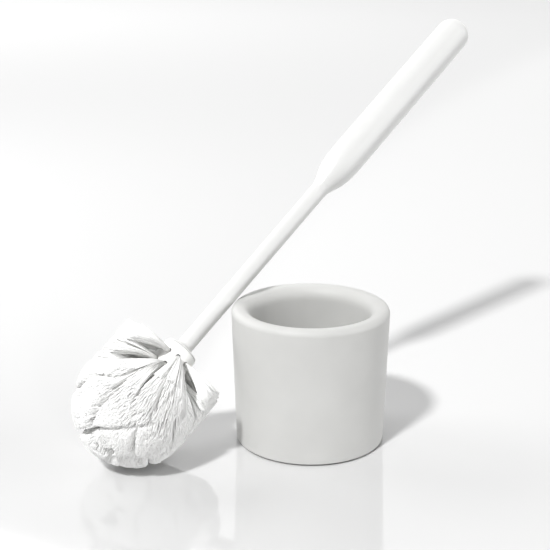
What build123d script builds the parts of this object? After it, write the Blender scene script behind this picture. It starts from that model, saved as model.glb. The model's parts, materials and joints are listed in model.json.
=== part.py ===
from build123d import *

import math
import os

# A toilet brush and its holder, in millimetres. The holder is a small double-walled cup that stands
# on the floor, and the brush lies in the lean it is put down in: the bristles on the floor and the
# stem across the cup's rim. The origin is the middle of the cup's foot, with +Z up.

# --- cup -------------------------------------------------------------------------------------------
cup_height = 88.5
cup_top_radius = 50.0
cup_base_radius = 47.2
cup_wall = 2.4
rim_corner = 4.0            # outer round of the rim
rim_crest_width = 5.2       # from the rim's outer face to where the lip turns in
lip_width = 7.3             # how far in the rounded inner lip comes
lip_depth = 9.0             # how far down it reaches
rim_thickness = 4.1         # solid plastic between the rim's edge and the hollow wall
bore_draft = 1.8            # the bore is this much narrower at the floor than under the lip
floor_height = 7.4          # top of the cup's inner floor
floor_round = 4.0
foot_round = 1.1

# --- base plate and foot pad -----------------------------------------------------------------------
pad_radius = 40.0
pad_thickness = 2.0
pad_proud = 0.8             # the pad stands this far below the cup's lower edge
pad_round = 0.3
pad_clearance = 0.05
plate_lift = 0.4            # the plate sits this far up inside the skirt
plate_thickness = 2.4
plate_clearance = 0.10
seat_wall = 1.3             # skirt left outside the seat that the plate snaps into
snap_height = 0.45          # the snap bead on the plate's edge
snap_land = 0.25            # flat left between the bead and the plate's top
stiffener_radius = 22.0     # ring on the plate that carries the cup's floor
stiffener_wall = 2.0

# --- brush head ------------------------------------------------------------------------------------
head_radius = 38.0          # the bristles are trimmed to this radius
head_length = 83.5          # from the drum's top face to the end of the bristles
drum_radius = 11.5
drum_length = 56.0
drum_end_round = 10.0
drum_top_round = 0.3
hole_radius = 1.6
hole_depth = 4.5
hole_mouth = 1.0            # a tuft is as thick as its hole up to here
tuft_share = 0.147          # radius of a tuft where it is trimmed, as a share of the head's
side_rows = 5
side_tufts = 10
first_row_drop = 7.0        # first row's holes below the drum's top face
row_pitch = 8.5
first_tilt = 10.0           # degrees that the first row leans towards the end of the head
tilt_step = 3.5
end_rows = [                # on the rounded end: degrees round it, tilt, number of tufts, turn
    (15.0, 32.0, 10, 18.0),
    (44.0, 47.0, 8, 0.0),
    (75.0, 80.0, 4, 22.5),
]
anchor_thickness = 0.4      # flat wire that holds each folded tuft down in its hole
anchor_height = 1.6
anchor_bite = 0.3           # how far each end of it cuts into the drum

# --- handle ----------------------------------------------------------------------------------------
handle_length = 327.0       # from the drum's top face to the tip
spigot_radius = 4.5
spigot_length = 14.0
spigot_chamfer = 0.8
spigot_clearance = 0.05
spigot_end_gap = 0.6
joint_gap = 0.3             # line between the handle's flange and the drum
flange_edge = 0.7
flange_height = 5.6
flange_slope = 0.55         # rise of the flange's top for each millimetre inwards, at its edge
stem_low_radius = 5.45
stem_top_radius = 5.80
stem_length = 147.0         # from the drum's top face to the foot of the shoulder
shoulder_length = 45.0
knee_along = 0.30           # share of the shoulder's length where it is steepest
knee_rise = 0.54            # share of its rise there
grip_radius = 12.15
channel_radius = 2.0        # gas channel, open at the spigot's end
grip_wall = 3.2

# --- how the brush leans ---------------------------------------------------------------------------
head_spot_x = -108.4        # where the bristles stand on the floor
head_spot_y = -42.3
rest_angle = 166.4          # degrees round the rim to where the stem crosses it
lean_gap = 0.4
lean_passes = 20            # each pass brings the leaning stem closer to the rim

dome_drop = head_length - head_radius
shank_length = drum_length - drum_end_round
tuft_spread = tuft_share * head_radius
plate_bottom = pad_proud + plate_lift
plate_top = plate_bottom + plate_thickness
seat_radius = cup_base_radius - seat_wall
snap_level = plate_top - snap_land - snap_height
bore_radius = cup_top_radius - rim_crest_width - lip_width
bore_floor_radius = bore_radius - bore_draft
floor_underside = floor_height - cup_wall


def finish(builder, name):
    """Label a finished piece and write it."""
    builder.part.label = name
    export_step(builder.part, f"parts/{name}.step")


def corner_at(sketch, x, y):
    """The corner of a flat sketch that is nearest to a point."""
    return sketch.vertices().sort_by_distance((x, y, 0))[0]


def stem_radius_at(height):
    """The stem's radius at a height above the drum's top face."""
    return stem_low_radius + (stem_top_radius - stem_low_radius) * height / stem_length


def lean_direction(head_centre):
    """The direction of the brush's axis when its stem lies against the rim's outer round."""
    angle = math.radians(rest_angle)
    round_centre = cup_top_radius - rim_corner
    rim_point = Vector(
        round_centre * math.cos(angle),
        round_centre * math.sin(angle),
        cup_height - rim_corner,
    )
    rim_run = Vector(-math.sin(angle), math.cos(angle), 0)
    direction = (rim_point - head_centre).normalized()
    for _ in range(lean_passes):
        height = (rim_point - head_centre).dot(direction) - dome_drop
        away = rim_run.cross(direction).normalized()
        offset = rim_corner + stem_radius_at(height) + lean_gap
        direction = (rim_point + away * offset - head_centre).normalized()
    return direction


def tuft_rows():
    """Each row's hole, placed in the brush's own frame, its number of tufts and its turn."""
    rows = []
    for number in range(side_rows):
        drop = first_row_drop + number * row_pitch
        tilt = first_tilt + number * tilt_step
        turn = number % 2 * 180.0 / side_tufts
        rows.append((Location((drum_radius, 0, -drop), (0, 90 + tilt, 0)), side_tufts, turn))
    for place, tilt, count, turn in end_rows:
        radius = drum_radius - drum_end_round + drum_end_round * math.cos(math.radians(place))
        drop = shank_length + drum_end_round * math.sin(math.radians(place))
        rows.append((Location((radius, 0, -drop), (0, 90 + tilt, 0)), count, turn))
    return rows


dome_centre = Vector(head_spot_x, head_spot_y, head_radius)
lean = lean_direction(dome_centre)
collar = dome_centre + lean * dome_drop
side = Vector(0, 0, 1).cross(lean).normalized()
brush_axis = Axis(collar, lean)
brush_frame = Plane(origin=collar, x_dir=side, z_dir=lean)
brush_section = Plane(origin=collar, x_dir=side, z_dir=side.cross(lean))    # X outwards, Y up the axis

os.makedirs("parts", exist_ok=True)


# --- holder ----------------------------------------------------------------------------------------
with BuildPart() as cup_body:
    with BuildSketch(Plane.XZ) as cup_section:
        lip_edge = cup_top_radius - rim_crest_width
        with BuildLine():
            Polyline(
                (0, floor_height),
                (bore_floor_radius, floor_height),
                (bore_radius, cup_height - lip_depth),
            )
            EllipticalCenterArc(
                (lip_edge, cup_height - lip_depth), lip_width, lip_depth, 90, arc_size=90
            )
            Polyline(
                (lip_edge, cup_height),
                (cup_top_radius, cup_height),
                (cup_base_radius, pad_proud),
                (seat_radius, pad_proud),
                (seat_radius, plate_top),
                (cup_base_radius - cup_wall, plate_top),
                (cup_top_radius - cup_wall, cup_height - rim_thickness),
                (bore_radius + cup_wall, cup_height - lip_depth),
                (bore_floor_radius + cup_wall, floor_underside),
                (0, floor_underside),
                (0, floor_height),
            )
        make_face()
        fillet(corner_at(cup_section, cup_top_radius, cup_height), rim_corner)
        fillet(corner_at(cup_section, bore_floor_radius, floor_height), floor_round)
        fillet(corner_at(cup_section, bore_floor_radius + cup_wall, floor_underside), floor_round)
        fillet(corner_at(cup_section, cup_base_radius, pad_proud), foot_round)
    revolve(axis=Axis.Z)
    with BuildSketch(Plane.XZ):
        with BuildLine():
            Polyline(
                (seat_radius, snap_level - snap_height),
                (seat_radius + snap_height, snap_level),
                (seat_radius, snap_level + snap_height),
                close=True,
            )
        make_face()
    revolve(axis=Axis.Z, mode=Mode.SUBTRACT)
finish(cup_body, "cup_body")

with BuildPart() as base_plate:
    with BuildSketch(Plane.XZ):
        plate_radius = seat_radius - plate_clearance
        pad_seat_radius = pad_radius + pad_clearance
        with BuildLine():
            Polyline(
                (0, pad_thickness),
                (pad_seat_radius, pad_thickness),
                (pad_seat_radius, plate_bottom),
                (plate_radius, plate_bottom),
                (plate_radius, snap_level - snap_height),
                (plate_radius + snap_height, snap_level),
                (plate_radius, snap_level + snap_height),
                (plate_radius, plate_top),
                (0, plate_top),
                close=True,
            )
        make_face()
    revolve(axis=Axis.Z)
    with BuildSketch(Plane.XY.offset(plate_top)):
        Circle(stiffener_radius)
        Circle(stiffener_radius - stiffener_wall, mode=Mode.SUBTRACT)
    extrude(amount=floor_underside - plate_top)
finish(base_plate, "base_plate")

with BuildPart() as foot_pad:
    Cylinder(pad_radius, pad_thickness, align=(Align.CENTER, Align.CENTER, Align.MIN))
    fillet(foot_pad.edges().group_by(Axis.Z)[0], pad_round)
finish(foot_pad, "foot_pad")


# --- brush head, in the brush's own frame: its axis is Z, and the drum's top face is at zero --------
with BuildPart(brush_frame) as head_core:
    with BuildSketch(brush_section) as drum_section:
        with BuildLine():
            Polyline(
                (0, 0),
                (drum_radius, 0),
                (drum_radius, -drum_length),
                (0, -drum_length),
                close=True,
            )
        make_face()
        fillet(corner_at(drum_section, drum_radius, 0), drum_top_round)
        fillet(corner_at(drum_section, drum_radius, -drum_length), drum_end_round)
    revolve(axis=brush_axis)
    Cylinder(
        spigot_radius + spigot_clearance,
        spigot_length + spigot_end_gap,
        align=(Align.CENTER, Align.CENTER, Align.MAX),
        mode=Mode.SUBTRACT,
    )
    for hole, count, turn in tuft_rows():
        with PolarLocations(0, count, turn):
            with Locations(hole * Location((0, 0, -hole_depth))):
                Cylinder(
                    hole_radius,
                    hole_depth + drum_end_round,
                    align=(Align.CENTER, Align.CENTER, Align.MIN),
                    mode=Mode.SUBTRACT,
                )
finish(head_core, "head_core")

with BuildPart() as trim_shape:
    Cylinder(head_radius, dome_drop, align=(Align.CENTER, Align.CENTER, Align.MAX))
    with Locations((0, 0, -dome_drop)):
        Sphere(head_radius)

with BuildPart() as anchor:
    Box(
        2 * (hole_radius + anchor_bite),
        anchor_thickness,
        anchor_height,
        align=(Align.CENTER, Align.CENTER, Align.MIN),
    )

with BuildPart() as loose_tuft:             # before trimming, with the drum's surface at zero
    with BuildSketch(Plane.XZ):
        with BuildLine():
            Polyline(
                (0, -hole_depth),
                (hole_radius, -hole_depth),
                (hole_radius, hole_mouth),
                (tuft_spread, head_radius - drum_radius),
                (tuft_spread, head_radius),
                (0, head_radius),
                close=True,
            )
        make_face()
    revolve(axis=Axis.Z)
    with Locations((0, 0, -hole_depth)):
        add(anchor.part, mode=Mode.SUBTRACT)

for number, (hole, count, turn) in enumerate(tuft_rows(), 1):
    with BuildPart() as tuft:
        with Locations(hole):
            add(loose_tuft.part)
        add(trim_shape.part, mode=Mode.INTERSECT)
    with BuildPart(brush_frame) as tuft_row:
        with PolarLocations(0, count, turn):
            add(tuft.part)
    finish(tuft_row, f"tuft_row_{number}")
    with BuildPart(brush_frame) as anchor_row:
        with PolarLocations(0, count, turn):
            with Locations(hole * Location((0, 0, -hole_depth))):
                add(anchor.part)
    finish(anchor_row, f"anchor_row_{number}")


# --- handle ----------------------------------------------------------------------------------------
grip_start = stem_length + shoulder_length
tip_centre = handle_length - grip_radius

with BuildPart() as handle:
    with BuildSketch(brush_section) as handle_section:
        with BuildLine():
            Polyline(
                (0, -spigot_length),
                (spigot_radius, -spigot_length),
                (spigot_radius, joint_gap),
                (drum_radius - drum_top_round, joint_gap),
                (drum_radius - drum_top_round, joint_gap + flange_edge),
            )
            Spline(
                (drum_radius - drum_top_round, joint_gap + flange_edge),
                (stem_radius_at(flange_height), flange_height),
                tangents=[(-1, flange_slope), (0, 1)],
            )
            Line((stem_radius_at(flange_height), flange_height), (stem_top_radius, stem_length))
            Spline(
                (stem_top_radius, stem_length),
                (
                    stem_top_radius + knee_rise * (grip_radius - stem_top_radius),
                    stem_length + knee_along * shoulder_length,
                ),
                (grip_radius, grip_start),
                tangents=[(0, 1), (0, 1)],
            )
            Line((grip_radius, grip_start), (grip_radius, tip_centre))
            CenterArc((0, tip_centre), grip_radius, 0, arc_size=90)
            Line((0, handle_length), (0, -spigot_length))
        make_face()
        fillet(corner_at(handle_section, spigot_radius, -spigot_length), spigot_chamfer)
    revolve(axis=brush_axis)
    with BuildSketch(brush_section):
        with BuildLine():
            channel_grip = grip_radius - grip_wall
            Polyline(
                (0, -spigot_length),
                (channel_radius, -spigot_length),
                (channel_radius, stem_length),
                (channel_grip, grip_start),
                (channel_grip, tip_centre),
            )
            CenterArc((0, tip_centre), channel_grip, 0, arc_size=90)
            Line((0, tip_centre + channel_grip), (0, -spigot_length))
        make_face()
    revolve(axis=brush_axis, mode=Mode.SUBTRACT)
finish(handle, "handle")
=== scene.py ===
"""Toilet brush and cup: finishes, bristles and a plain studio stage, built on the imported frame."""

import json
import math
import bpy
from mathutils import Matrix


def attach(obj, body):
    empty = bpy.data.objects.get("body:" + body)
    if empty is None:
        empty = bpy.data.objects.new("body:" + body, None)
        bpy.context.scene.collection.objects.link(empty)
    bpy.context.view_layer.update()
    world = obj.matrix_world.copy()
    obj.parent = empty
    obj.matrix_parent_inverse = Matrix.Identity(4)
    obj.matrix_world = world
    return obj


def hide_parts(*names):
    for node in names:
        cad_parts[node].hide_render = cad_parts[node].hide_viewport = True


bl_info = {
    "name": "Toilet brush and cup",
    "version": (1, 0, 0),
    "blender": (4, 5, 0),
    "location": "View3D > Sidebar > Toilet brush",
    "description": "Bristles, finishes and a studio stage for a toilet brush that leans on its cup",
    "category": "Object",
}

import bmesh
import bpy
import numpy as np
from bpy.props import FloatProperty, IntProperty, PointerProperty, StringProperty
from mathutils import Matrix, Vector

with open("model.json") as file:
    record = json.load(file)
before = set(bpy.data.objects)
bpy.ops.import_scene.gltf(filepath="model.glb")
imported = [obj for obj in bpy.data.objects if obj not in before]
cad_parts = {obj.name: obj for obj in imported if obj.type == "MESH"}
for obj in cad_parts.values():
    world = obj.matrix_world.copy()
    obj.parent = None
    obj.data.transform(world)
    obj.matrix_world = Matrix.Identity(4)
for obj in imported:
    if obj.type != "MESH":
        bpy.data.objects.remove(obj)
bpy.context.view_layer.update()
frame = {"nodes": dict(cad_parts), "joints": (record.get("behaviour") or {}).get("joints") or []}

MM = 0.001
WELD = 0.001 * MM
ROWS = sum(1 for node in frame["nodes"] if node.startswith("tuft_row_"))

# How a tuft leaves the drum
HOLE_DEPTH = 6.5 * MM                  # from an anchor to where a tuft is free
HOLE_RADIUS = 1.3 * MM                 # filaments stand this far round the middle of a hole
KNEE = 0.38                            # share of its free length where a filament leaves its hole's line
LIE_NOISE = 0.04                       # how far a tuft strays from its direction
FAN_RANGE = (0.85, 1.15)               # share of the full fan that a tuft opens to
PARTING = (140, 4)                     # degrees round the head and mm from the drum's top
PARTING_REACH = 95 * MM                # tufts lie over up to this far from the parting
PARTING_FADE = 0.6                     # power with which that fades

# How a tuft's tips part into locks, in tuft radii, and how fast they draw together
LOCK_DRIFT_ROUND = 0.08
LOCK_DRIFT_ALONG = 0.3
LOCK_FADE = 0.4

# Shares of the uneven trim that a tuft, a lock and a filament have
TUFT_UNEVEN = 0.8
LOCK_UNEVEN = 0.5
OWN_UNEVEN = 0.3

# Stray curl at the tips, and waves
TUFT_CURL = 0.5 * MM
LOCK_CURL = 0.2 * MM
OWN_CURL = 0.12 * MM
WAVE_SHIFT = 0.2                       # radians between the waves of one lock's filaments
WAVE_ALONG = 0.6                       # height of the wave along the head, as a share of that round it

# Thickness of a filament
FULL_WIDTH_AT = 1.15                   # a filament is as wide as it gets at 1 / this of its length
TIP_FROM = 0.99
TIP_TAPER = 0.8
FLOOR_CLEARANCE = 0.6                  # least height of a filament's middle over the floor, in tip widths

# Slits between petals
SLIT_SHAPE = 1.5                       # power with which a slit gets shallower to its side
SLIT_SHUT = 1.8                        # slits at more than 1 / this across the filaments stay shut
SLIT_MEAN, SLIT_SPREAD, SLIT_LEAST = 0.5, 0.8, 0.1     # depths, as shares of the deepest
SLIT_MIX = (12.9, 78.2)                # turns a pair of petals into a number from -1 to 1
PETALS = np.array([                    # where tips draw together: degrees round it, mm from the top
    (92, 14), (88, 38), (96, 66), (156, 84), (186, 62), (200, 38), (198, 16), (166, 42), (140, 50),
    (124, 22), (152, 18), (122, 70), (230, 24), (232, 54), (236, 84), (54, 18), (50, 46), (60, 78),
    (16, 14), (14, 42), (16, 74), (338, 22), (336, 52), (340, 84), (302, 14), (300, 42), (302, 74),
    (266, 22), (264, 52), (268, 84), (0, 104),
])

# Stage, in metres
FLOOR_SIZE = 24
FLOOR_BACK = 6                         # the floor's middle is this far behind the cup
FLOOR_GLOSS = 0.14                     # share of the floor's light that it mirrors
FLOOR_ROUGHNESS = 0.07
SEEN_SKY = 0.95                        # brightness of the surroundings where they are seen
SUN_DISTANCE = 3
WASH_SIZE, BACK_WASH_SIZE = 0.6, 2.0
BACK_WASH_POWER = 6                    # power of the light behind, in powers of the left one
SPOT_CONE = math.radians(10)
SPOT_SOFTNESS = 0.08
DIFFUSE_BOUNCES = 16
MOST_BOUNCES = 20
CAMERA_PLACE = (-22.45 * MM, -716.1 * MM, 325.9 * MM)
SENSOR_WIDTH = 36                      # millimetres


# --- settings --------------------------------------------------------------------------------------
class BristleSettings(bpy.types.PropertyGroup):
    """How the tufts of the brush head are filled and how they lie."""

    per_tuft: IntProperty(
        name="Filaments", description="Filament ends in one tuft", default=640, min=20
    )
    segments: IntProperty(
        name="Segments", description="Straight lengths that a filament bends at", default=4, min=2
    )
    root_width: FloatProperty(
        name="Width at root", description="Width of a filament where it is held",
        default=0.22 * MM, subtype="DISTANCE", unit="LENGTH",
    )
    tip_width: FloatProperty(
        name="Width at tip", description="Width near the tip, where a filament has split into hairs",
        default=0.85 * MM, subtype="DISTANCE", unit="LENGTH",
    )
    fan_round: FloatProperty(
        name="Fan round the head", description="Half the angle a tuft opens to round the head",
        default=math.radians(25), subtype="ANGLE", unit="ROTATION",
    )
    fan_along: FloatProperty(
        name="Fan along the head", description="Half the angle a tuft opens to along the head",
        default=math.radians(15), subtype="ANGLE", unit="ROTATION",
    )
    crimp: FloatProperty(
        name="Crimp", description="How far a filament waves to each side",
        default=0.1 * MM, subtype="DISTANCE", unit="LENGTH",
    )
    crimp_pitch: FloatProperty(
        name="Crimp pitch", description="Length of one wave",
        default=14 * MM, subtype="DISTANCE", unit="LENGTH",
    )
    bunch: FloatProperty(
        name="Bunching", description="How far the tips of a lock draw together",
        default=0.12, min=0, max=1,
    )
    petal_pull: FloatProperty(
        name="Petals", description="How far the tips draw together into petals", default=0.14,
        min=0, max=1,
    )
    petal_dent: FloatProperty(
        name="Slits", description="How deep the slits between the petals are",
        default=8 * MM, subtype="DISTANCE", unit="LENGTH",
    )
    slit_width: FloatProperty(
        name="Slit width", description="Half the width of a slit at its mouth",
        default=1.1 * MM, subtype="DISTANCE", unit="LENGTH",
    )
    locks: IntProperty(
        name="Locks", description="Locks that the tips of one tuft part into", default=5, min=1
    )
    sweep: FloatProperty(
        name="Sweep", description="How much further the tufts of the open side lie to the head's end",
        default=math.radians(58), subtype="ANGLE", unit="ROTATION",
    )
    trim_jitter: FloatProperty(
        name="Uneven trim", description="How much shorter the shortest filaments are",
        default=1.3 * MM, subtype="DISTANCE", unit="LENGTH",
    )
    seed: IntProperty(name="Seed", description="Start of the random draws", default=7)
    colour: StringProperty(
        name="Colour", description="Colour of the filaments", default="FCFCFB"
    )
    # painted shade: filaments are greyed deep in the tufts, where shade falls between them
    shaded_root_colour: StringProperty(
        name="Root colour", description="Colour deep in the tufts", default="F2F2F0"
    )


class HolderSettings(bpy.types.PropertyGroup):
    """Colours of the cup, its base plate and its foot pad."""

    colour: StringProperty(name="Cup", description="Colour of the moulded cup", default="C4C4C2")
    pad_colour: StringProperty(
        name="Foot pad", description="Colour of the foam rubber pad", default="6B6B69"
    )
    grain: FloatProperty(
        name="Grain", description="Grain of the spark-eroded mould surface",
        default=0.45 * MM, subtype="DISTANCE", unit="LENGTH",
    )


class HandleSettings(bpy.types.PropertyGroup):
    """Colours of the handle, the drum and the wire in it."""

    colour: StringProperty(name="Handle", description="Colour of the handle", default="D8D8D7")
    drum_colour: StringProperty(
        name="Drum", description="Colour of the brush head's drum", default="EFEFED"
    )
    wire_colour: StringProperty(
        name="Wire", description="Colour of the galvanised anchor wire", default="A6A9AB"
    )


class StageSettings(bpy.types.PropertyGroup):
    """Floor, lights and camera."""

    floor_colour: StringProperty(name="Floor", description="Colour of the floor", default="D1D1D1")
    key: FloatProperty(name="Key", description="Strength of the key light", default=3.2)
    back: FloatProperty(
        name="Back", description="Strength of the broad light behind on the right", default=0.33
    )
    side: FloatProperty(
        name="Side", description="Strength of the broad light on the right", default=1.3
    )
    wash: FloatProperty(
        name="Wash", description="Power of the light on the floor to the left, in watts", default=6.0
    )
    fill: FloatProperty(
        name="Fill", description="Power of the narrow light on the brush head, in watts", default=11.0
    )
    sky: FloatProperty(name="Sky", description="Light of the white surroundings", default=0.18)
    lens: FloatProperty(name="Lens", description="Focal length in millimetres", default=78.55)
    pitch: FloatProperty(
        name="Pitch", description="How far the camera looks down",
        default=math.radians(16.9), subtype="ANGLE", unit="ROTATION",
    )


# --- small helpers ---------------------------------------------------------------------------------
def linear(code):
    """An sRGB hex colour as linear RGBA."""
    shares = [int(code[i:i + 2], 16) / 255 for i in (0, 2, 4)]
    return (*[s / 12.92 if s <= 0.04045 else ((s + 0.055) / 1.055) ** 2.4 for s in shares], 1.0)


def add_node(tree, kind, settings=None, inputs=None):
    """Add a node with its settings, its input values and the sockets that feed it."""
    node = tree.nodes.new(kind)
    for name, value in (settings or {}).items():
        setattr(node, name, value)
    for name, value in (inputs or {}).items():
        if isinstance(value, bpy.types.NodeSocket):
            tree.links.new(value, node.inputs[name])
        else:
            node.inputs[name].default_value = value
    return node


def new_material(name, **constants):
    """A material with a Principled shader and its constant values. Returns it and its tree and shader."""
    material = bpy.data.materials.new(name)
    material.use_nodes = True
    tree = material.node_tree
    tree.nodes.clear()
    shader = add_node(tree, "ShaderNodeBsdfPrincipled", inputs=constants)
    add_node(tree, "ShaderNodeOutputMaterial", inputs={"Surface": shader.outputs["BSDF"]})
    return material, tree, shader


def paint(obj, material):
    """Give every material slot of a piece the same material."""
    if not obj.material_slots:
        obj.data.materials.append(material)
    for slot in obj.material_slots:
        slot.material = material


def deselect():
    bpy.ops.object.select_all(action="DESELECT")


# --- the brush's own frame -------------------------------------------------------------------------
class BrushFrame:
    """Collar point, lean, and the two directions across it, read from the drum and the joint."""

    def __init__(self):
        joint = next(j for j in frame["joints"] if j["name"] == "handle_release")
        self.lean = np.array(joint["axis"], float)
        self.lean /= np.linalg.norm(self.lean)
        side = np.cross((0, 0, 1), self.lean)
        self.side = side / np.linalg.norm(side)
        self.across = np.cross(self.lean, self.side)
        self.axes = np.array([self.side, self.across, self.lean])
        drum = mesh_points(frame["nodes"]["head_core"]) @ self.axes.T
        centre = (drum.min(0) + drum.max(0)) / 2
        centre[2] = drum[:, 2].max()
        self.collar = centre @ self.axes
        tufts = np.concatenate(
            [mesh_points(frame["nodes"][f"tuft_row_{n + 1}"]) for n in range(ROWS)]
        )
        local = self.to_local(tufts)
        self.head_radius = np.hypot(local[:, 0], local[:, 1]).max()
        self.dome_drop = -local[:, 2].min() - self.head_radius

    def to_local(self, points):
        return (points - self.collar) @ self.axes.T

    def to_world(self, points):
        return points @ self.axes + self.collar


def mesh_points(obj):
    """The vertices of a mesh as an array."""
    points = np.empty(len(obj.data.vertices) * 3)
    obj.data.vertices.foreach_get("co", points)
    return points.reshape(-1, 3)


def separate_solids(node):
    """The corner points of each closed solid of a CAD node, one array for each."""
    work = bmesh.new()
    work.from_mesh(frame["nodes"][node].data)
    bmesh.ops.remove_doubles(work, verts=work.verts, dist=WELD)
    work.verts.index_update()
    seen = set()
    solids = []
    for first in work.verts:
        if first.index in seen:
            continue
        seen.add(first.index)
        front = [first]
        corners = []
        while front:
            vert = front.pop()
            corners.append(tuple(vert.co))
            for edge in vert.link_edges:
                other = edge.other_vert(vert)
                if other.index not in seen:
                    seen.add(other.index)
                    front.append(other)
        solids.append(np.array(corners))
    work.free()
    return solids


def holes_of_row(number, brush):
    """Root and direction of each tuft of a row, in the brush's frame, read from its anchor wires.

    An anchor is a flat box. Its middle-sized side stands along the hole.
    """
    inside = np.array([0, 0, -brush.dome_drop / 2])
    holes = []
    for corners in separate_solids(f"anchor_row_{number}"):
        local = brush.to_local(corners)
        middle = local.mean(0)
        _, directions = np.linalg.eigh(np.cov((local - middle).T))
        out = directions[:, 1]
        if out @ (middle - inside) < 0:
            out = -out
        holes.append((middle, out))
    return sorted(holes, key=lambda hole: math.atan2(hole[0][1], hole[0][0]))


# --- bristles --------------------------------------------------------------------------------------
def filament_pattern(segments):
    """Corners and faces of one straight filament of unit length and radius, modelled once."""
    deselect()
    bpy.ops.mesh.primitive_cylinder_add(vertices=3, radius=1, depth=1, location=(0, 0, 0.5))
    pattern = bpy.context.object
    bpy.ops.object.transform_apply(location=True, rotation=True, scale=True)
    bpy.ops.object.mode_set(mode="EDIT")
    bpy.ops.mesh.select_all(action="DESELECT")
    work = bmesh.from_edit_mesh(pattern.data)
    for edge in work.edges:
        edge.select = edge.verts[0].co.z != edge.verts[1].co.z
    bmesh.update_edit_mesh(pattern.data)
    bpy.ops.mesh.subdivide(number_cuts=segments - 1)
    bpy.ops.object.mode_set(mode="OBJECT")
    corners = mesh_points(pattern)
    faces = [tuple(p.vertices) for p in pattern.data.polygons]
    bpy.data.objects.remove(pattern)
    return corners, faces


def trim_distance(start, direction, brush):
    """How far each line runs from its start to the trimmed surface, a cylinder with a round end."""
    flat_a = (direction[:, :2] ** 2).sum(1)
    flat_b = (start[:, :2] * direction[:, :2]).sum(1)
    flat_c = (start[:, :2] ** 2).sum(1) - brush.head_radius ** 2
    to_side = (-flat_b + np.sqrt(flat_b ** 2 - flat_a * flat_c)) / flat_a
    level = start[:, 2] + to_side * direction[:, 2]
    dome = start + np.array([0, 0, brush.dome_drop])
    dome_b = (dome * direction).sum(1)
    dome_c = (dome ** 2).sum(1) - brush.head_radius ** 2
    to_dome = -dome_b + np.sqrt(np.maximum(dome_b ** 2 - dome_c, 0))
    return np.where(level > -brush.dome_drop, to_side, to_dome)


def unit(vectors):
    return vectors / np.linalg.norm(vectors, axis=-1, keepdims=True)


def on_surface(turn, down, brush):
    """Points of the trimmed surface: degrees round the head and millimetres from the drum's top."""
    turn = np.radians(turn)
    down = np.asarray(down) * MM
    bend = np.clip((down - brush.dome_drop) / brush.head_radius, 0, math.pi / 2)
    out = brush.head_radius * np.cos(bend)
    level = -np.minimum(down, brush.dome_drop) - brush.head_radius * np.sin(bend)
    return np.stack([out * np.cos(turn), out * np.sin(turn), level], -1)


def swept(mouth, out, sweep, brush):
    """The direction a tuft lies in: its hole's, combed away from the parting on the open side."""
    reach = trim_distance(mouth[None], out[None], brush)[0]
    away = mouth + out * reach - on_surface(*PARTING, brush)
    far = np.linalg.norm(away)
    away = unit(away - (away @ out) * out)
    share = max(0.0, 1 - far / PARTING_REACH) ** PARTING_FADE
    return out * math.cos(sweep * share) + away * math.sin(sweep * share)


def into_petals(tip, direction, brush, settings):
    """Tips moved towards the middle of their petal, and how much shorter each is near a slit.

    Slits that run across the filaments stay shut.
    """
    centres = on_surface(PETALS[:, 0], PETALS[:, 1], brush)
    apart = np.linalg.norm(tip[:, None] - centres, axis=2)
    order = np.argsort(apart, axis=1)
    own, other = order[:, 0], order[:, 1]
    pick = np.arange(len(tip))
    margin = (apart[pick, other] - apart[pick, own]) / 2
    pair = np.sin(SLIT_MIX[0] * np.minimum(own, other) + SLIT_MIX[1] * np.maximum(own, other))
    normal = unit(tip * (1, 1, 0) + np.minimum(tip[:, 2:] + brush.dome_drop, 0) * (0, 0, 1))
    flat = direction - (direction * normal).sum(1, keepdims=True) * normal
    across = np.abs((unit(centres[other] - centres[own]) * flat).sum(1))
    open_share = np.clip(1 - SLIT_SHUT * across, 0, 1)
    depth = settings.petal_dent * np.clip(SLIT_MEAN + SLIT_SPREAD * pair, SLIT_LEAST, 1) * open_share
    moved = tip + (centres[own] - tip) * settings.petal_pull
    return moved, depth * np.exp(-(margin / settings.slit_width) ** SLIT_SHAPE)


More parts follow.
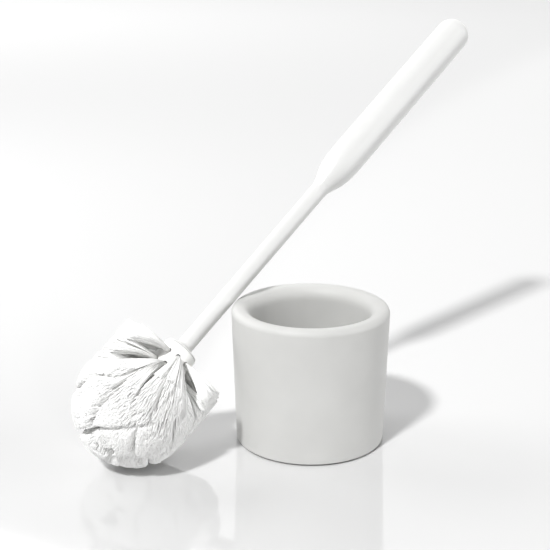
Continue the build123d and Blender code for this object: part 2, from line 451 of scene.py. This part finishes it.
def tuft_paths(hole, settings, brush, rng):
    """The points that each filament of a tuft follows, in the brush's frame: filament, point, xyz."""
    root, out = hole
    count = settings.per_tuft
    lie = swept(root + out * HOLE_DEPTH, out, settings.sweep, brush)
    lie = unit(lie + rng.normal(0, LIE_NOISE, 3))
    around = unit(np.cross((0, 0, 1), lie))
    along = np.cross(lie, around)

    radius = np.sqrt(rng.random(count))
    turn = rng.random(count) * 2 * math.pi
    disc = np.stack([radius * np.cos(turn), radius * np.sin(turn)], 1)
    lock_x = (np.arange(settings.locks) + 0.5) / settings.locks * 2 - 1
    lock_x = lock_x + rng.normal(0, LOCK_DRIFT_ROUND, settings.locks)
    lock_y = rng.normal(0, LOCK_DRIFT_ALONG, settings.locks)
    nearest = np.abs(disc[:, :1] - lock_x).argmin(1)
    centre = np.stack([lock_x[nearest], lock_y[nearest]], 1)
    fan = disc + (centre - disc) * settings.bunch * rng.random((count, 1)) ** LOCK_FADE
    fan_x = fan[:, :1] * math.tan(settings.fan_round) * rng.uniform(*FAN_RANGE)
    fan_y = fan[:, 1:] * math.tan(settings.fan_along) * rng.uniform(*FAN_RANGE)
    direction = unit(lie + fan_x * around + fan_y * along)

    seat = root + disc[:, :1] * HOLE_RADIUS * around + disc[:, 1:] * HOLE_RADIUS * along
    mouth = seat + out * HOLE_DEPTH
    uneven = TUFT_UNEVEN * rng.random()
    uneven = uneven + LOCK_UNEVEN * rng.random(settings.locks)[nearest]
    uneven = uneven + OWN_UNEVEN * rng.random(count) ** 2
    reach = trim_distance(mouth, direction, brush) - settings.trim_jitter * uneven
    tip, dent = into_petals(mouth + direction * reach[:, None], direction, brush, settings)
    reach = np.linalg.norm(tip - mouth, axis=1)
    tip = mouth + (tip - mouth) * (1 - dent / reach)[:, None]

    t = np.linspace(0, 1, settings.segments + 1)[None, :, None]
    knee = mouth + out * (KNEE * reach[:, None])
    path = (1 - t) ** 2 * seat[:, None] + 2 * t * (1 - t) * knee[:, None] + t ** 2 * tip[:, None]
    length = np.linalg.norm(tip - seat, axis=1)[:, None, None]
    lock_phase = rng.random(settings.locks)[nearest][:, None, None] * 2 * math.pi
    own_phase = rng.normal(0, WAVE_SHIFT, (count, 1, 1))
    turns = length * t / settings.crimp_pitch
    wave = settings.crimp * np.sin(2 * math.pi * turns + lock_phase + own_phase)
    curl = rng.normal(0, TUFT_CURL, 2) + rng.normal(0, LOCK_CURL, (settings.locks, 2))[nearest]
    stray = rng.normal(0, OWN_CURL, (count, 2))
    bend = (curl + stray)[:, None, :] * t ** 2
    shift_round = (wave * t + bend[..., :1]) * around
    shift_along = (WAVE_ALONG * wave * t + bend[..., 1:]) * along
    return path + shift_round + shift_along


def row_of_bristles(number, settings, brush, pattern):
    """Every filament of a row as one mesh, with a share along it and a random number for each."""
    corners, faces = pattern
    rng = np.random.default_rng(settings.seed * 100 + number)
    points, alongs, strands = [], [], []
    for hole in holes_of_row(number, brush):
        path = tuft_paths(hole, settings, brush, rng)
        path = brush.to_world(path.reshape(-1, 3)).reshape(path.shape)
        lowest = settings.tip_width * (FLOOR_CLEARANCE + rng.random((len(path), 1)))
        path[..., 2] = np.maximum(path[..., 2], lowest)
        ring = np.rint(corners[:, 2] * settings.segments).astype(int)
        run = unit(np.gradient(path, axis=1))
        start = unit(rng.normal(size=(len(path), 1, 3)))
        first = unit(start - (start * run).sum(2, keepdims=True) * run)
        second = np.cross(run, first)
        share = corners[:, 2]
        swell = np.sin(np.clip(share * FULL_WIDTH_AT, 0, 1) * math.pi / 2)
        taper = np.where(share > TIP_FROM, TIP_TAPER, 1.0)
        half = (settings.root_width + (settings.tip_width - settings.root_width) * swell) / 2 * taper
        mesh = (
            path[:, ring]
            + first[:, ring] * (corners[:, 0] * half)[None, :, None]
            + second[:, ring] * (corners[:, 1] * half)[None, :, None]
        )
        points.append(mesh.reshape(-1, 3))
        alongs.append(np.tile(share, len(path)))
        strands.append(np.repeat(rng.random(len(path)), len(corners)))
    points = np.concatenate(points)
    filaments = len(points) // len(corners)
    offsets = np.arange(filaments) * len(corners)
    polygons = [tuple(int(o) + i for i in face) for o in offsets for face in faces]
    mesh = bpy.data.meshes.new(f"bristles_row_{number}")
    mesh.from_pydata(points.tolist(), [], polygons)
    mesh.polygons.foreach_set("use_smooth", [True] * len(mesh.polygons))
    for name, values in (("along", alongs), ("strand", strands)):
        attribute = mesh.attributes.new(name, "FLOAT", "POINT")
        attribute.data.foreach_set("value", np.concatenate(values).astype(np.float32))
    mesh.update()
    row = bpy.data.objects.new(f"bristles_row_{number}", mesh)
    bpy.context.scene.collection.objects.link(row)
    return row


# --- materials -------------------------------------------------------------------------------------
def matt_moulded_cup(settings):
    """ABS moulded in a spark-eroded mould: an even matt surface with a fine grain, no gloss."""
    base = linear(settings.colour)
    material, tree, shader = new_material(
        "matt_moulded_abs", **{"IOR": 1.53, "Roughness": 0.55, "Specular IOR Level": 0.4}
    )
    place = add_node(tree, "ShaderNodeTexCoord").outputs["Object"]
    cloud = add_node(
        tree, "ShaderNodeTexNoise",
        inputs={"Vector": place, "Scale": 1 / (28 * MM), "Detail": 2.0, "Roughness": 0.5},
    )
    shade = add_node(
        tree, "ShaderNodeMapRange",
        inputs={"Value": cloud.outputs["Fac"], "From Min": 0.3, "From Max": 0.7,
                "To Min": 0.965, "To Max": 1.02},
    )
    colour = add_node(
        tree, "ShaderNodeMix", {"data_type": "RGBA", "blend_type": "MULTIPLY"},
        {"Factor": 1.0, "A": base, "B": shade.outputs["Result"]},
    )
    tree.links.new(colour.outputs["Result"], shader.inputs["Base Color"])
    grain = add_node(
        tree, "ShaderNodeTexNoise",
        inputs={"Vector": place, "Scale": 1 / settings.grain, "Detail": 3.0},
    )
    bump = add_node(
        tree, "ShaderNodeBump",
        inputs={"Strength": 0.25, "Distance": 0.04 * MM, "Height": grain.outputs["Fac"]},
    )
    tree.links.new(bump.outputs["Normal"], shader.inputs["Normal"])
    return material


def foam_rubber(settings):
    """Die-cut EVA foam rubber: dull, with small open cells; a painted highlight makes each cell lighter
    towards its rim, as if it catches the light.
    """
    material, tree, shader = new_material("eva_foam_rubber", **{"IOR": 1.48, "Roughness": 0.9})
    place = add_node(tree, "ShaderNodeTexCoord").outputs["Object"]
    cells = add_node(
        tree, "ShaderNodeTexVoronoi", inputs={"Vector": place, "Scale": 1 / (0.9 * MM)}
    )
    # painted highlight: lighter towards each cell's rim, darker in its middle
    colour = add_node(
        tree, "ShaderNodeMix", {"data_type": "RGBA"},
        {"Factor": cells.outputs["Distance"], "A": linear(settings.pad_colour),
         "B": linear("7D7D7A")},
    )
    tree.links.new(colour.outputs["Result"], shader.inputs["Base Color"])
    bump = add_node(
        tree, "ShaderNodeBump",
        inputs={"Strength": 0.4, "Distance": 0.1 * MM, "Height": cells.outputs["Distance"]},
    )
    tree.links.new(bump.outputs["Normal"], shader.inputs["Normal"])
    return material


def satin_moulding(name, code, brush, roughness):
    """Polypropylene from a polished mould: satin white, slightly cloudy, with faint flow along it."""
    material, tree, shader = new_material(
        name,
        **{"IOR": 1.49, "Roughness": roughness, "Subsurface Weight": 0.12,
           "Subsurface Scale": 2 * MM, "Subsurface Radius": (1.0, 1.0, 0.95)},
    )
    place = add_node(tree, "ShaderNodeTexCoord").outputs["Object"]
    turn = Matrix(brush.axes.tolist()).to_euler()
    along = add_node(
        tree, "ShaderNodeMapping", {"vector_type": "POINT"},
        {"Vector": place, "Rotation": tuple(turn)},
    )
    stretch = add_node(
        tree, "ShaderNodeMapping", {"vector_type": "POINT"},
        {"Vector": along.outputs["Vector"], "Scale": (1.0, 1.0, 0.12)},
    )
    flow = add_node(
        tree, "ShaderNodeTexNoise",
        inputs={"Vector": stretch.outputs["Vector"], "Scale": 1 / (7 * MM), "Detail": 2.0},
    )
    shade = add_node(
        tree, "ShaderNodeMapRange",
        inputs={"Value": flow.outputs["Fac"], "From Min": 0.3, "From Max": 0.7,
                "To Min": 0.975, "To Max": 1.0},
    )
    colour = add_node(
        tree, "ShaderNodeMix", {"data_type": "RGBA", "blend_type": "MULTIPLY"},
        {"Factor": 1.0, "A": linear(code), "B": shade.outputs["Result"]},
    )
    tree.links.new(colour.outputs["Result"], shader.inputs["Base Color"])
    peel = add_node(
        tree, "ShaderNodeTexNoise",
        inputs={"Vector": place, "Scale": 1 / (1.8 * MM), "Detail": 1.0},
    )
    bump = add_node(
        tree, "ShaderNodeBump",
        inputs={"Strength": 0.12, "Distance": 0.05 * MM, "Height": peel.outputs["Fac"]},
    )
    tree.links.new(bump.outputs["Normal"], shader.inputs["Normal"])
    return material


def galvanised_wire(settings):
    """Hot-dip galvanised flat wire: dull grey zinc with slightly brighter spangles."""
    material, tree, shader = new_material(
        "galvanised_wire", **{"Metallic": 1.0, "Roughness": 0.42}
    )
    place = add_node(tree, "ShaderNodeTexCoord").outputs["Object"]
    spangle = add_node(
        tree, "ShaderNodeTexVoronoi", inputs={"Vector": place, "Scale": 1 / (0.8 * MM)}
    )
    colour = add_node(
        tree, "ShaderNodeMix", {"data_type": "RGBA"},
        {"Factor": spangle.outputs["Distance"], "A": linear(settings.wire_colour),
         "B": linear("C4C7C9")},
    )
    tree.links.new(colour.outputs["Result"], shader.inputs["Base Color"])
    return material


def nylon_filament(settings):
    """Crimped nylon filament: soft white at the split tips, with painted shade that makes it greyer deep
    in the tuft.
    """
    material, tree, shader = new_material(
        "nylon_filament",
        **{"IOR": 1.53, "Roughness": 0.5, "Specular IOR Level": 0.25},
    )
    along = add_node(tree, "ShaderNodeAttribute", {"attribute_name": "along"})
    strand = add_node(tree, "ShaderNodeAttribute", {"attribute_name": "strand"})
    # painted shade: the filament is greyer towards its root, from along 0.1 to 0.8
    depth = add_node(
        tree, "ShaderNodeMapRange",
        inputs={"Value": along.outputs["Fac"], "From Min": 0.1, "From Max": 0.8},
    )
    colour = add_node(
        tree, "ShaderNodeMix", {"data_type": "RGBA"},
        {"Factor": depth.outputs["Result"], "A": linear(settings.shaded_root_colour),
         "B": linear(settings.colour)},
    )
    own = add_node(
        tree, "ShaderNodeMapRange",
        inputs={"Value": strand.outputs["Fac"], "To Min": 0.975, "To Max": 1.0},
    )
    varied = add_node(
        tree, "ShaderNodeMix", {"data_type": "RGBA", "blend_type": "MULTIPLY"},
        {"Factor": 1.0, "A": colour.outputs["Result"], "B": own.outputs["Result"]},
    )
    tree.links.new(varied.outputs["Result"], shader.inputs["Base Color"])
    return material


def stage_floor(settings):
    """Satin white acrylic sheet: pale and matt, with a faint soft reflection."""
    material = bpy.data.materials.new("satin_white_sheet")
    material.use_nodes = True
    tree = material.node_tree
    tree.nodes.clear()
    matt = add_node(
        tree, "ShaderNodeBsdfDiffuse", inputs={"Color": linear(settings.floor_colour)}
    )
    gloss = add_node(
        tree, "ShaderNodeBsdfGlossy",
        inputs={"Color": linear("FFFFFF"), "Roughness": FLOOR_ROUGHNESS},
    )
    sheet = add_node(
        tree, "ShaderNodeMixShader",
        inputs={0: FLOOR_GLOSS, 1: matt.outputs["BSDF"], 2: gloss.outputs["BSDF"]},
    )
    add_node(tree, "ShaderNodeOutputMaterial", inputs={"Surface": sheet.outputs["Shader"]})
    return material


def white_room(settings):
    """White surroundings: bright where they are seen or mirrored, dimmer as a light."""
    world = bpy.data.worlds.new("white_room")
    world.use_nodes = True
    tree = world.node_tree
    path = add_node(tree, "ShaderNodeLightPath")
    strength = add_node(
        tree, "ShaderNodeMapRange",
        inputs={"Value": path.outputs["Is Diffuse Ray"], "To Min": SEEN_SKY, "To Max": settings.sky},
    )
    tree.links.new(strength.outputs["Result"], tree.nodes["Background"].inputs["Strength"])
    tree.nodes["Background"].inputs["Color"].default_value = linear("FFFFFF")
    return world


# --- lights ----------------------------------------------------------------------------------------
def add_lamp(kind, name, place, towards, strength):
    """A light that shines against a direction. Returns its data."""
    bpy.ops.object.light_add(type=kind, location=place)
    lamp = bpy.context.object
    lamp.name = name
    lamp.data.energy = strength
    lamp.rotation_euler = towards.to_track_quat("Z", "Y").to_euler()
    return lamp.data


def add_sun(name, towards, strength, width):
    """A far soft light: the direction towards it, its strength, and its width in degrees of sky."""
    towards = Vector(towards)
    sun = add_lamp("SUN", name, towards.normalized() * SUN_DISTANCE, towards, strength)
    sun.angle = math.radians(width)


def add_wash(name, place, target, size, power):
    """A square light that brightens one part of the floor: its place, its target, size and power."""
    wash = add_lamp("AREA", name, place, Vector(place) - Vector(target), power)
    wash.size = size


def add_spot(name, place, target, power):
    """A narrow soft-edged spot: its place, its target and its power in watts."""
    spot = add_lamp("SPOT", name, place, Vector(place) - Vector(target), power)
    spot.spot_size = SPOT_CONE
    spot.spot_blend = 1.0
    spot.shadow_soft_size = SPOT_SOFTNESS


# --- operators -------------------------------------------------------------------------------------
class TOILETBRUSH_OT_holder(bpy.types.Operator):
    """Finish the cup, its base plate and its foot pad"""

    bl_idname = "toilet_brush.holder"
    bl_label = "Holder"

    def execute(self, context):
        settings = context.scene.brush_holder
        moulded = matt_moulded_cup(settings)
        paint(frame["nodes"]["cup_body"], moulded)
        paint(frame["nodes"]["base_plate"], moulded)
        paint(frame["nodes"]["foot_pad"], foam_rubber(settings))
        return {"FINISHED"}


class TOILETBRUSH_OT_handle(bpy.types.Operator):
    """Finish the handle, the drum and the anchor wires"""

    bl_idname = "toilet_brush.handle"
    bl_label = "Handle and drum"

    def execute(self, context):
        settings = context.scene.brush_handle
        brush = BrushFrame()
        handle = satin_moulding("satin_moulded_handle", settings.colour, brush, 0.34)
        drum = satin_moulding("satin_moulded_drum", settings.drum_colour, brush, 0.45)
        wire = galvanised_wire(settings)
        paint(frame["nodes"]["handle"], handle)
        paint(frame["nodes"]["head_core"], drum)
        for number in range(1, ROWS + 1):
            paint(frame["nodes"][f"anchor_row_{number}"], wire)
        return {"FINISHED"}


class TOILETBRUSH_OT_bristles(bpy.types.Operator):
    """Grow the filaments of every row of tufts out of the drum's holes"""

    bl_idname = "toilet_brush.bristles"
    bl_label = "Bristles"

    def execute(self, context):
        settings = context.scene.brush_bristles
        brush = BrushFrame()
        pattern = filament_pattern(settings.segments)
        material = nylon_filament(settings)
        for number in range(1, ROWS + 1):
            row = row_of_bristles(number, settings, brush, pattern)
            paint(row, material)
            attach(row, "brush_head")
            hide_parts(f"tuft_row_{number}")
        return {"FINISHED"}


class TOILETBRUSH_OT_stage(bpy.types.Operator):
    """Lay the floor, set the lights and place the camera"""

    bl_idname = "toilet_brush.stage"
    bl_label = "Stage"

    def execute(self, context):
        settings = context.scene.brush_stage
        deselect()
        bpy.ops.mesh.primitive_plane_add(size=FLOOR_SIZE, location=(0, FLOOR_BACK, 0))
        floor = context.object
        floor.name = "floor"
        paint(floor, stage_floor(settings))

        add_sun("key", (-0.347, -0.54, 0.766), settings.key, 6)
        add_sun("back", (0.35, 0.75, 0.5), settings.back, 55)
        add_sun("side", (0.9, -0.15, 0.25), settings.side, 50)
        behind = settings.wash * BACK_WASH_POWER
        add_wash("left_wash", (-1.0, 0.45, 0.75), (-0.4, 0.15, 0), WASH_SIZE, settings.wash)
        add_wash("back_wash", (-1.6, 3.0, 2.2), (-0.9, 3.0, 0), BACK_WASH_SIZE, behind)
        add_spot("head_fill", (0.15, -0.75, 0.28), (-0.109, -0.03, 0.045), settings.fill)
        context.scene.world = white_room(settings)
        context.scene.cycles.diffuse_bounces = DIFFUSE_BOUNCES
        context.scene.cycles.max_bounces = MOST_BOUNCES
        context.scene.view_settings.view_transform = "Standard"

        bpy.ops.object.camera_add(
            location=CAMERA_PLACE, rotation=(math.pi / 2 - settings.pitch, 0, 0)
        )
        camera = context.object
        camera.data.sensor_width = SENSOR_WIDTH
        camera.data.lens = settings.lens
        context.scene.camera = camera
        return {"FINISHED"}


class TOILETBRUSH_PT_panel(bpy.types.Panel):
    """The settings and the button of each step"""

    bl_idname = "TOILETBRUSH_PT_panel"
    bl_label = "Toilet brush"
    bl_space_type = "VIEW_3D"
    bl_region_type = "UI"
    bl_category = "Toilet brush"

    def draw(self, context):
        for heading, pointer, operator in STEPS:
            box = self.layout.box()
            box.label(text=heading)
            settings = getattr(context.scene, pointer)
            for name in settings.bl_rna.properties.keys():
                if name not in {"rna_type", "name"}:
                    box.prop(settings, name)
            box.operator(operator)


STEPS = (
    ("Holder", "brush_holder", "toilet_brush.holder"),
    ("Handle", "brush_handle", "toilet_brush.handle"),
    ("Bristles", "brush_bristles", "toilet_brush.bristles"),
    ("Stage", "brush_stage", "toilet_brush.stage"),
)
SETTINGS = {
    "brush_holder": HolderSettings,
    "brush_handle": HandleSettings,
    "brush_bristles": BristleSettings,
    "brush_stage": StageSettings,
}
CLASSES = (
    *SETTINGS.values(),
    TOILETBRUSH_OT_holder,
    TOILETBRUSH_OT_handle,
    TOILETBRUSH_OT_bristles,
    TOILETBRUSH_OT_stage,
    TOILETBRUSH_PT_panel,
)


def register():
    for cls in CLASSES:
        bpy.utils.register_class(cls)
    for pointer, settings in SETTINGS.items():
        setattr(bpy.types.Scene, pointer, PointerProperty(type=settings))


def unregister():
    for pointer in SETTINGS:
        delattr(bpy.types.Scene, pointer)
    for cls in reversed(CLASSES):
        bpy.utils.unregister_class(cls)


def main():
    register()
    bpy.ops.toilet_brush.holder()
    bpy.ops.toilet_brush.handle()
    bpy.ops.toilet_brush.bristles()
    bpy.ops.toilet_brush.stage()


if __name__ == "__main__":
    main()
